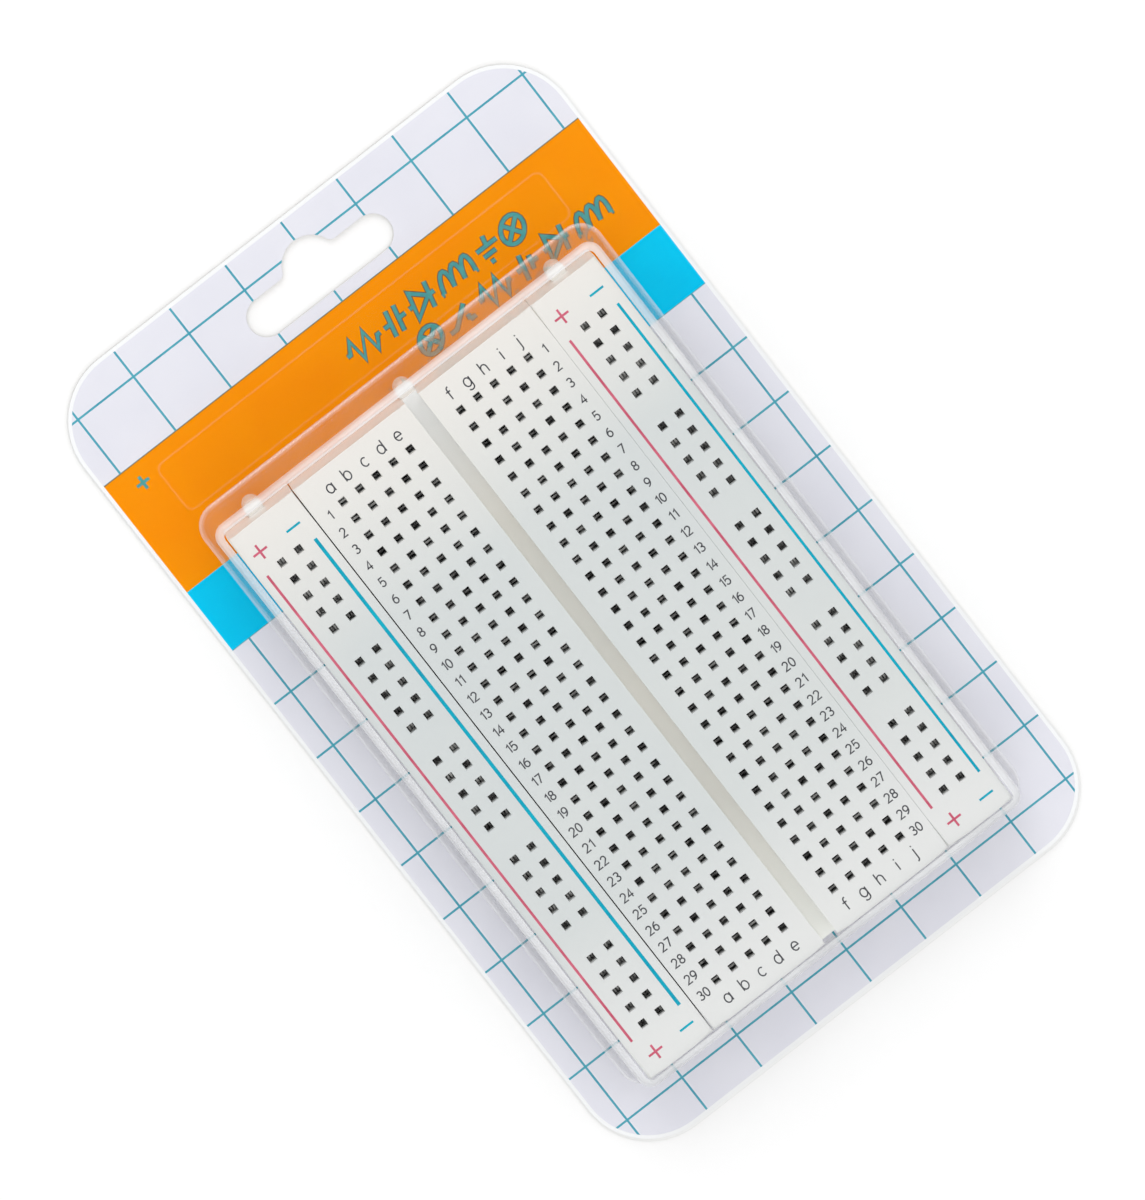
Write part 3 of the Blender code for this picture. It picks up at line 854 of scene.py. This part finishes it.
# Each glyph's strokes, in units of its height, from its foot
SIX = [loop(0.30, 0.31, 0.27, 0.31), bow(0.60, 0.36, 0.57, 0.64, 180, 103)]
GLYPHS = {
    "0": [loop(0.30, 0.5, 0.27, 0.5)],
    "1": [[(0.12, 0.78), (0.36, 1.0), (0.36, 0.0)]],
    "2": [bow(0.30, 0.72, 0.26, 0.28, 165, -35) + [(0.03, 0.0), (0.60, 0.0)]],
    "3": [bow(0.28, 0.76, 0.24, 0.24, 150, -80) + bow(0.28, 0.26, 0.28, 0.26, 80, -150)],
    "4": [[(0.44, 0.0), (0.44, 1.0), (0.02, 0.30), (0.62, 0.30)]],
    "5": [[(0.55, 1.0), (0.13, 1.0), (0.07, 0.50)] + bow(0.29, 0.32, 0.28, 0.32, 135, -150)],
    "6": SIX,
    "7": [[(0.03, 1.0), (0.58, 1.0), (0.22, 0.0)]],
    "8": [loop(0.30, 0.76, 0.22, 0.24), loop(0.30, 0.26, 0.27, 0.26)],
    "9": [[(0.60 - x, 1.0 - y) for x, y in stroke] for stroke in SIX],
    "a": [loop(0.38, 0.5, 0.38, 0.5), [(0.78, 1.0), (0.78, 0.0)]],
    "b": [[(0.02, 1.45), (0.02, 0.0)], loop(0.42, 0.5, 0.38, 0.5)],
    "c": [bow(0.40, 0.5, 0.38, 0.5, 50, 310)],
    "d": [loop(0.38, 0.5, 0.38, 0.5), [(0.78, 1.45), (0.78, 0.0)]],
    "e": [[(0.02, 0.5), (0.78, 0.5)] + bow(0.40, 0.5, 0.38, 0.5, 15, 310)],
    "f": [bow(0.50, 1.15, 0.25, 0.30, 80, 180) + [(0.25, 0.0)], [(0.0, 0.95), (0.52, 0.95)]],
    "g": [loop(0.38, 0.5, 0.38, 0.5), [(0.78, 1.0)] + bow(0.42, -0.12, 0.36, 0.33, 0, -150)],
    "h": [[(0.02, 1.45), (0.02, 0.0)], bow(0.38, 0.62, 0.34, 0.38, 170, 0) + [(0.72, 0.0)]],
    "i": [[(0.2, 1.0), (0.2, 0.0)], [(0.2, 1.28), (0.2, 1.42)]],
    "j": [[(0.3, 1.0)] + bow(0.08, -0.18, 0.22, 0.27, 0, -100), [(0.3, 1.28), (0.3, 1.42)]],
}
GLYPH_GAP = 0.19  # between two digits, in digit heights


def glyph_width(strokes):
    return max(x for stroke in strokes for x, y in stroke)


def draw_type(shape, text, centre, height):
    """Letters or digits on the strips, centred on a point and upright towards +Y."""
    widths = [glyph_width(GLYPHS[character]) for character in text]
    total = sum(widths) + GLYPH_GAP * (len(text) - 1)
    x = -total / 2
    for character, width in zip(text, widths):
        for number, stroke in enumerate(GLYPHS[character]):
            points = [(centre[0] + (x + px) * height, centre[1] + (py - 0.5) * height) for px, py in stroke]
            ribbon(shape, points, TYPE_STROKE, STRIP_TOP + INK + number * INK_STAGGER)
        x += width + GLYPH_GAP


def draw_line(shape, start, end, width, material, lift=0.0):
    ribbon(shape, [start, end], width, STRIP_TOP + INK + lift, material)


def draw_sign(shape, sign, centre, material):
    x, y = centre
    draw_line(shape, (x - SIGN_ARM, y), (x + SIGN_ARM, y), SIGN_STROKE, material)
    if sign == "+":
        draw_line(shape, (x, y - SIGN_ARM), (x, y + SIGN_ARM), SIGN_STROKE, material, INK_STAGGER)


LETTER_Y = (39.0 * MM, -39.5 * MM)
NUMBER_X = (-16.2 * MM, 16.1 * MM)
NUMBER_DROP = 0.4 * MM  # the numbers stand a little nearer row 30 than their tie points
LETTER_SHIFT = (-0.2 * MM, 0.1 * MM)
LINE_ENDS = (35.4 * MM, -36.5 * MM)


def add_strip_printing():
    shape = bmesh.new()
    for row in range(1, ROWS + 1):
        for x in NUMBER_X:
            place = (CENTRE.x + x, row_y(row) - NUMBER_DROP)
            draw_type(shape, str(row), place, DIGIT_HEIGHT)
    for side, letters, shift in ((-1, "abcde", LETTER_SHIFT[0]), (1, "fghij", LETTER_SHIFT[1])):
        for x, letter in zip(bank_xs(side), letters):
            for y in LETTER_Y:
                draw_type(shape, letter, (x + shift, CENTRE.y + y), LETTER_HEIGHT)
    bmesh.ops.recalc_face_normals(shape, faces=shape.faces)
    finish_piece("terminal_printing", shape, [DARK_INK], "board")

    red, blue = 0, 1
    rails = (
        # in mm: the red line's x, the blue line's x and width, the plus signs' places and the minus signs'
        ("left", -26.5, -19.3, 0.45, ((-25.4, 38.2), (-25.0, -39.2)), ((-20.5, 38.1), (-20.2, -39.1))),
        ("right", 19.1, 26.3, 0.35, ((20.1, 38.3), (20.4, -39.2)), ((25.2, 38.1), (25.2, -39.3))),
    )
    for label, red_x, blue_x, blue_width, plus_places, minus_places in rails:
        shape = bmesh.new()
        for x, width, material in ((red_x, RED_LINE, red), (blue_x, blue_width * MM, blue)):
            ends = [(CENTRE.x + x * MM, CENTRE.y + y) for y in LINE_ENDS]
            draw_line(shape, *ends, width, material)
        for sign, places, material in (("+", plus_places, red), ("-", minus_places, blue)):
            for x, y in places:
                draw_sign(shape, sign, (CENTRE.x + x * MM, CENTRE.y + y * MM), material)
        bmesh.ops.recalc_face_normals(shape, faces=shape.faces)
        finish_piece(f"{label}_rail_printing", shape, [RED_INK, BLUE_INK], f"{label}_rail")


# ------------ backing


def add_foam():
    """Die-cut foam tape under each strip: its cut sides waver a little."""
    bodies = (("left_rail", "left_rail"), ("terminal", "board"), ("right_rail", "right_rail"))
    for label, body in bodies:
        node = f"foam_pad_{label}"
        low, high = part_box(node)
        counts = [max(2, round((high[axis] - low[axis]) / FOAM_CELL)) for axis in (0, 1)]
        xs, ys = [
            [low[axis] + (high[axis] - low[axis]) * i / count for i in range(count + 1)]
            for axis, count in enumerate(counts)
        ]
        zs = [low.z, (2 * low.z + high.z) / 3, (low.z + 2 * high.z) / 3, high.z]
        shape = grid_solid(xs, ys, zs, lambda x, y, z: True)
        middle = (low + high) / 2
        for vertex in shape.verts:
            wave = 0.5 + 0.5 * noise.noise(vertex.co * WAVES_PER_METRE)
            rounding = 0.4 if zs[0] < vertex.co.z < zs[-1] else 1.0
            for axis in (0, 1):
                from_middle = vertex.co[axis] - middle[axis]
                if abs(abs(from_middle) - (high[axis] - middle[axis])) < MICRON:
                    inward = 1 if from_middle < 0 else -1
                    vertex.co[axis] += inward * FOAM_WAVER * (0.3 * wave + 0.7 * rounding)
        pad = finish_piece(f"foam_tape_{label}", shape, [FOAM], body, smooth=50, replaces=(node,))
    dress_nodes("release_liner_", LINER)


def hang_hole_outline():
    """A long slot with a hump over its middle, filleted where the two meet."""
    steps = HANG_HOLE_STEPS
    end = SLOT_HALF_LENGTH - SLOT_RADIUS
    slot_top = SLOT_CENTRE_Y + SLOT_RADIUS
    fillet_y = slot_top + HUMP_FILLET
    reach = HUMP_RADIUS + HUMP_FILLET
    fillet_x = math.sqrt(reach**2 - (fillet_y - HUMP_CENTRE_Y) ** 2)
    meet = math.degrees(math.atan2(fillet_y - HUMP_CENTRE_Y, fillet_x))
    points = arc((end, SLOT_CENTRE_Y), SLOT_RADIUS, -90, 90, 2 * steps)
    points += arc((fillet_x, fillet_y), HUMP_FILLET, -90, meet - 180, steps)
    points += arc((0.0, HUMP_CENTRE_Y), HUMP_RADIUS, meet, 180 - meet, 2 * steps)[1:-1]
    points += arc((-fillet_x, fillet_y), HUMP_FILLET, -meet, -90, steps)
    points += arc((-end, SLOT_CENTRE_Y), SLOT_RADIUS, 90, 270, 2 * steps)
    return points


def card_ink(x, y, grid_xs, grid_ys):
    """The print at a place on the card's face."""
    if BAND_TOP - BAND_LINE < y < BAND_TOP:
        return BAND_LINE_INK
    if BAND_MIDDLE < y < BAND_TOP:
        return CARD_ORANGE
    if BAND_BOTTOM < y < BAND_MIDDLE:
        return CARD_CYAN
    half = GRID_LINE / 2
    on_line = any(abs(x - line) < half for line in grid_xs) or any(abs(y - line) < half for line in grid_ys)
    return GRID_INK if on_line else CARD_GROUND


def add_card():
    shape = bmesh.new()
    outline = rounded_rectangle(CARD_LOW, CARD_HIGH, CARD_CORNER)
    margin = Vector((PRINT_MARGIN, PRINT_MARGIN, 0.0))
    printed = rounded_rectangle(CARD_LOW + margin, CARD_HIGH - margin, CARD_CORNER - PRINT_MARGIN)
    rim = outline_edges(shape, outline, CARD_HIGH.z)[1]
    limit = outline_edges(shape, printed, CARD_HIGH.z)[1]
    hole = outline_edges(shape, hang_hole_outline(), CARD_HIGH.z)[1]
    bmesh.ops.triangle_fill(shape, edges=limit + hole, use_beauty=True)
    inner = set(shape.faces)
    bmesh.ops.triangle_fill(shape, edges=rim + limit, use_beauty=True)
    for face in shape.faces:
        face.material_index = CARD_LOOKS.index(CARD_GROUND if face in inner else CARD_MARGIN)
    grown = bmesh.ops.extrude_face_region(shape, geom=shape.faces[:])
    moved = [part for part in grown["geom"] if isinstance(part, bmesh.types.BMVert)]
    bmesh.ops.translate(shape, verts=moved, vec=(0, 0, CARD_LOW.z - CARD_HIGH.z))
    bmesh.ops.recalc_face_normals(shape, faces=shape.faces)

    half = GRID_LINE / 2
    grid_xs = [GRID_ORIGIN.x + k * GRID_PITCH.x for k in GRID_COLUMNS]
    grid_ys = [GRID_ORIGIN.y + k * GRID_PITCH.y for k in GRID_ROWS]
    cuts = [((x + side * half, 0, 0), (1, 0, 0)) for x in grid_xs for side in (-1, 1)]
    cuts += [((0, y + side * half, 0), (0, 1, 0)) for y in grid_ys for side in (-1, 1)]
    cuts += [((0, y, 0), (0, 1, 0)) for y in (BAND_TOP, BAND_TOP - BAND_LINE, BAND_MIDDLE, BAND_BOTTOM)]
    for place, normal in cuts:
        everything = shape.verts[:] + shape.edges[:] + shape.faces[:]
        bmesh.ops.bisect_plane(shape, geom=everything, dist=MICRON / 10, plane_co=place, plane_no=normal)
    margin_slot = CARD_LOOKS.index(CARD_MARGIN)
    for face in shape.faces:
        face.normal_update()
        if face.normal.z < 0.5:
            face.material_index = CARD_LOOKS.index(CARD_STOCK)
        elif face.material_index != margin_slot:
            middle = face.calc_center_median()
            face.material_index = CARD_LOOKS.index(card_ink(middle.x, middle.y, grid_xs, grid_ys))
    finish_piece("printed_hang_card", shape, CARD_LOOKS, "card", replaces=("backing_card",))


def humps(count, rx, ry, foot):
    """A coil's humps side by side, with a short lead at each end."""
    lead = 0.1
    end = lead + 2 * rx * count
    arches = [bow(lead + rx * (2 * i + 1), foot, rx, ry, 180, 0) for i in range(count)]
    return [[(0.0, foot), (lead, foot)], *arches, [(end, foot), (end + lead, foot)]]


def plates(half):
    """Two plates between two leads, where the second plate's half height may be short."""
    second = [(0.66, 0.5 - half), (0.66, 0.5 + half)]
    return [[(0, 0.5), (0.3, 0.5)], [(0.3, 0), (0.3, 1)], second, [(0.66, 0.5), (0.96, 0.5)]]


# Each symbol's strokes, in units of its height, from its foot
SYMBOLS = {
    "resistor": [[
        (0, 0.5), (0.14, 0.5), (0.3, 0.95), (0.6, 0.05), (0.9, 0.95), (1.2, 0.05), (1.36, 0.5), (1.5, 0.5),
    ]],
    "capacitor": plates(0.5),
    "diode": [
        [(0, 0.5), (0.2, 0.5)], [(0.2, 0.0), (0.2, 1.0), (0.86, 0.5), (0.2, 0.0)],
        [(0.92, 0.0), (0.92, 1.0)], [(0.92, 0.5), (1.14, 0.5)],
    ],
    "coil": humps(3, 0.24, 0.72, 0.14),
    "earth": [
        [(0.45, 1), (0.45, 0.62)], [(0, 0.62), (0.9, 0.62)],
        [(0.18, 0.31), (0.72, 0.31)], [(0.36, 0.02), (0.54, 0.02)],
    ],
    "cell": plates(0.28),
    "lamp": [loop(0.5, 0.5, 0.48, 0.5), [(0.18, 0.15), (0.82, 0.85)], [(0.18, 0.85), (0.82, 0.15)]],
    "switch": [[(0, 0.2), (0.3, 0.2), (0.92, 0.85)], [(0.92, 0.2), (1.2, 0.2)], [(0.92, 0.2), (0.92, 0.42)]],
}
SYMBOL_ROWS = (
    # the first symbol's left end, the row's right end, its foot, its height, and its symbols
    (-3.8 * MM, 23.5 * MM, 39.2 * MM, 3.3 * MM, ("resistor", "capacitor", "diode", "coil", "earth", "lamp")),
    (3.8 * MM, 33.1 * MM, 34.75 * MM, 3.2 * MM, ("lamp", "switch", "resistor", "cell", "diode", "coil")),
)
SYMBOL_SLANT = 0.22
SYMBOL_STROKE = 0.46 * MM
SYMBOL_BORDER = 0.12 * MM
SYMBOL_FACE_LIFT = 8 * INK_STAGGER  # the teal over its dark border


def add_card_symbols():
    """Two slanted lines of plain circuit symbols stand where the card has its title."""
    shape = bmesh.new()
    teal, dark = 0, 1
    for left, right, foot, height, names in SYMBOL_ROWS:
        widths = [glyph_width(SYMBOLS[name]) * height for name in names]
        gap = (right - left - SYMBOL_SLANT * height - sum(widths)) / (len(names) - 1)
        x = left
        level = CARD_HIGH.z + INK
        for name, width in zip(names, widths):
            for number, stroke in enumerate(SYMBOLS[name]):
                points = [
                    (x + px * height + py * height * SYMBOL_SLANT, foot + py * height) for px, py in stroke
                ]
                lift = number * INK_STAGGER
                ribbon(shape, points, SYMBOL_STROKE + 2 * SYMBOL_BORDER, level + lift, dark)
                ribbon(shape, points, SYMBOL_STROKE, level + SYMBOL_FACE_LIFT + lift, teal)
            x += width + gap
    for number, way in enumerate(((0.0, MARK_ARM), (MARK_ARM, 0.0))):
        arm = Vector(way)
        top = CARD_HIGH.z + INK + number * INK_STAGGER
        ribbon(shape, [MARK_CENTRE - arm, MARK_CENTRE + arm], MARK_STROKE, top, teal)
    bmesh.ops.recalc_face_normals(shape, faces=shape.faces)
    finish_piece("card_symbols", shape, [TITLE_INK, TITLE_EDGE_INK], "card")


# ------------ blister


def bubble_ring(inset, z):
    """The bubble's outline, drawn in from its foot by inset."""
    half = FOOT_HALF_WIDTH - inset
    low = (CENTRE.x - half, CENTRE.y + LOW_END + inset)
    high = (CENTRE.x + half, CENTRE.y + HIGH_END - inset)
    outline = rounded_rectangle(low, high, BUBBLE_CORNER - inset, BUBBLE_CORNER_STEPS)
    return [(x, y, z) for x, y in outline]


def bubble_profile(flange_top, roof):
    """The bends at the bubble's foot and at its shoulder, as insets and heights."""
    turns = [math.radians(90 * i / BEND_STEPS) for i in range(BEND_STEPS + 1)]
    foot = [
        (-FOOT_FILLET + FOOT_FILLET * math.sin(turn), flange_top + FOOT_FILLET * (1 - math.cos(turn)))
        for turn in turns
    ]
    shoulder = [
        (DRAFT + SHOULDER * (1 - math.cos(turn)), roof - SHOULDER + SHOULDER * math.sin(turn))
        for turn in turns
    ]
    return foot, shoulder


def open_flange(shape):
    """Takes away the flange's faces where the step and the bubble rise from it."""
    for face in shape.faces[:]:
        middle = face.calc_center_median()
        in_step = STEP_LOW.x < middle.x < STEP_HIGH.x and STEP_LOW.y < middle.y < STEP_HIGH.y
        in_bubble = (
            abs(middle.x - CENTRE.x) < FOOT_HALF_WIDTH
            and CENTRE.y + LOW_END < middle.y < CENTRE.y + HIGH_END
        )
        if in_step or in_bubble:
            shape.faces.remove(face)


def raise_step(shape, step_loop, flange_top):
    ramp = Vector((STEP_RAMP, STEP_RAMP))
    raised = rounded_rectangle(STEP_LOW + ramp, STEP_HIGH - ramp, STEP_CORNER - STEP_RAMP, STEP_CORNER_STEPS)
    raised_loop = [shape.verts.new((x, y, flange_top + STEP_HEIGHT)) for x, y in raised]
    for face in join_loops(shape, [step_loop, raised_loop]):
        face.material_index = BLISTER_LOOKS.index(CLEAR_STEP)
    shape.faces.new(raised_loop)


def raise_bubble(shape, foot_loop, foot, shoulder):
    loops = [foot_loop]
    for inset, z in foot[1:] + shoulder:
        loops.append([shape.verts.new(point) for point in bubble_ring(inset, z)])
    slack = 0.01 * MM
    foot_top = foot[-1][1] + slack
    shoulder_bottom = shoulder[0][1] - slack
    for face in join_loops(shape, loops):
        heights = [vertex.co.z for vertex in face.verts]
        if min(heights) < foot_top and max(heights) > shoulder_bottom:
            look = CLEAR_WALL
        elif max(heights) < shoulder_bottom:
            look = CLEAR_FOOT
        else:
            look = CLEAR_BEND
        face.material_index = BLISTER_LOOKS.index(look)
    shape.faces.new(loops[-1])


def add_blister():
    """One formed sheet: the flange with its hang hole and shallow step, and the bubble over the board."""
    flange_top = SHEET_LOW.z + SHEET_THICKNESS
    foot, shoulder = bubble_profile(flange_top, SHEET_HIGH.z)
    shape = bmesh.new()
    outline = rounded_rectangle(SHEET_LOW, SHEET_HIGH, CARD_CORNER + SHEET_OVERHANG)
    edges = outline_edges(shape, outline, flange_top)[1]
    edges += outline_edges(shape, hang_hole_outline(), flange_top)[1]
    step = rounded_rectangle(STEP_LOW, STEP_HIGH, STEP_CORNER, STEP_CORNER_STEPS)
    step_loop, step_edges = outline_edges(shape, step, flange_top)
    foot_outline = [point[:2] for point in bubble_ring(*foot[0])]
    foot_loop, foot_edges = outline_edges(shape, foot_outline, flange_top)
    bmesh.ops.triangle_fill(shape, edges=edges + step_edges + foot_edges, use_beauty=True)
    open_flange(shape)
    raise_step(shape, step_loop, flange_top)
    raise_bubble(shape, foot_loop, foot, shoulder)
    bmesh.ops.recalc_face_normals(shape, faces=shape.faces)
    roof_face = max(shape.faces, key=lambda face: face.calc_center_median().z)
    if roof_face.normal.z < 0:
        bmesh.ops.reverse_faces(shape, faces=shape.faces)
    blister = finish_piece("clear_blister", shape, BLISTER_LOOKS)
    skin = blister.modifiers.new("thickness", "SOLIDIFY")
    skin.thickness = SHEET_THICKNESS
    skin.offset = -1.0
    skin.use_even_offset = True
    keep_result(blister)
    shade(blister, angle=42)
    blister.modifiers.new("even_shading", "WEIGHTED_NORMAL").keep_sharp = True
    declare(blister, "cover", ("blister_cover",))


# ------------ studio


def add_floor():
    shape = bmesh.new()
    bmesh.ops.create_grid(shape, x_segments=8, y_segments=8, size=FLOOR_REACH)
    bmesh.ops.translate(shape, verts=shape.verts, vec=(0, 0, -FLOOR_DROP))
    whites = ((0.975, 0.975, 0.975), (0.99, 0.99, 0.99))
    paper = surface("white_paper_floor", whites, (0.8, 0.95), 0.5 * MM, 4 * MICRON, 60 * MM)
    finish_piece("floor", shape, [paper])


def add_lamp(name, place, size, power):
    """An area lamp that shines at the board, in metres and watts."""
    data = bpy.data.lights.new(name, "AREA")
    data.shape = "RECTANGLE"
    data.size, data.size_y = size
    data.energy = power
    lamp = bpy.data.objects.new(name, data)
    lamp.location = place
    lamp.rotation_mode = "QUATERNION"
    lamp.rotation_quaternion = (AIM - Vector(place)).to_track_quat("-Z", "Y")
    bpy.context.scene.collection.objects.link(lamp)


def add_light():
    world = bpy.data.worlds.new("studio")
    world.use_nodes = True
    background = world.node_tree.nodes["Background"]
    background.inputs["Color"].default_value = (1.0, 1.0, 1.0, 1.0)
    background.inputs["Strength"].default_value = WORLD_STRENGTH
    bpy.context.scene.world = world
    add_lamp("key", (0.30, 1.05, 0.80), (0.8, 0.6), 3.2)
    add_lamp("glint_end", (0.10, 1.0, 1.0), (0.9, 0.03), 0.35)
    add_lamp("glint_side", (1.0, 0.0, 0.9), (0.03, 0.9), 0.35)
    add_lamp("fill", (-0.5, -0.9, 0.9), (1.3, 1.0), 1.6)
    bpy.context.scene.view_settings.view_transform = "Standard"


def add_camera():
    """A long lens above the card, leaning towards the hang hole and rolled so that +X runs up the picture."""
    tilt = math.radians(VIEW_TILT)
    back = Vector((0.0, math.sin(tilt), math.cos(tilt)))
    roll = math.radians(-VIEW_ROLL)
    right = Vector((math.cos(roll), math.sin(roll), 0.0))
    right = (right - back * right.dot(back)).normalized()
    up = back.cross(right)
    data = bpy.data.cameras.new("camera")
    data.lens = LENS
    data.sensor_width = SENSOR
    data.clip_start, data.clip_end = 0.05, 20.0
    camera = bpy.data.objects.new("camera", data)
    axes = Matrix((right, up, back)).transposed()
    camera.matrix_world = Matrix.Translation(AIM + back * VIEW_DISTANCE) @ axes.to_4x4()
    bpy.context.scene.collection.objects.link(camera)
    bpy.context.scene.camera = camera


add_camera()
add_light()
add_floor()
add_mouldings()
add_clips()
add_strip_printing()
add_foam()
add_card()
add_card_symbols()
add_blister()
